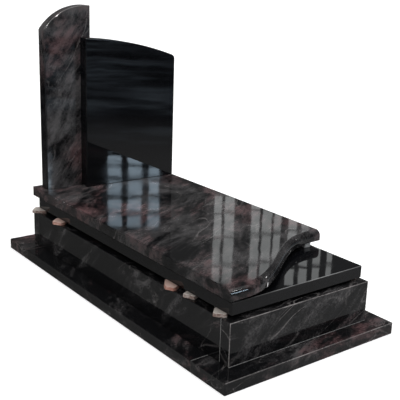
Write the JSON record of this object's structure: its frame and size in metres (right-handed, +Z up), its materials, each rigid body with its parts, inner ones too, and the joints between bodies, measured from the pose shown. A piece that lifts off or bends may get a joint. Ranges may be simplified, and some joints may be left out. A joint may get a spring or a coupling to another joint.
{
  "type": "granite grave monument",
  "caption": "Polished granite grave monument: ground border, hollow kerb, black slab, cover with an S-shaped front, tall arched stele and a wide black headstone.",
  "frame": {"origin": "middle of the footprint, on the ground under the border", "axes": "+Z up, -Y towards the foot of the grave, +Y towards the upright stones, +X to the right seen from the foot"},
  "size_m": [1, 2, 1.3968],
  "materials": {
    "purple_granite": "mirror polished, charcoal with dusky purple clouds and pale wisps",
    "black_granite": "mirror polished, near black",
    "packing_wood": "rough sawn, pale pinkish tan",
    "grey_stone": "sawn, unpolished, light grey"
  },
  "bodies": {
    "root": {"base_front_strip": "purple_granite", "base_back_strip": "purple_granite", "base_left_strip": "purple_granite", "base_right_strip": "purple_granite", "kerb_front_panel": "purple_granite", "kerb_back_panel": "purple_granite", "kerb_left_panel": "purple_granite", "kerb_right_panel": "purple_granite", "slab_block_left_1": "packing_wood", "slab_block_left_2": "packing_wood", "slab_block_left_3": "packing_wood", "slab_block_left_4": "packing_wood", "slab_block_left_5": "packing_wood", "slab_block_right_1": "packing_wood", "slab_block_right_2": "packing_wood", "slab_block_right_3": "packing_wood", "slab_block_right_4": "packing_wood", "black_slab": "black_granite", "cover_block_front_left": "grey_stone", "cover_block_front_right": "grey_stone", "cover_block_back_left": "grey_stone", "cover_block_back_right": "grey_stone", "cover_slab": "purple_granite", "tall_stele": "purple_granite", "black_headstone": "black_granite"}
  },
  "joints": []
}
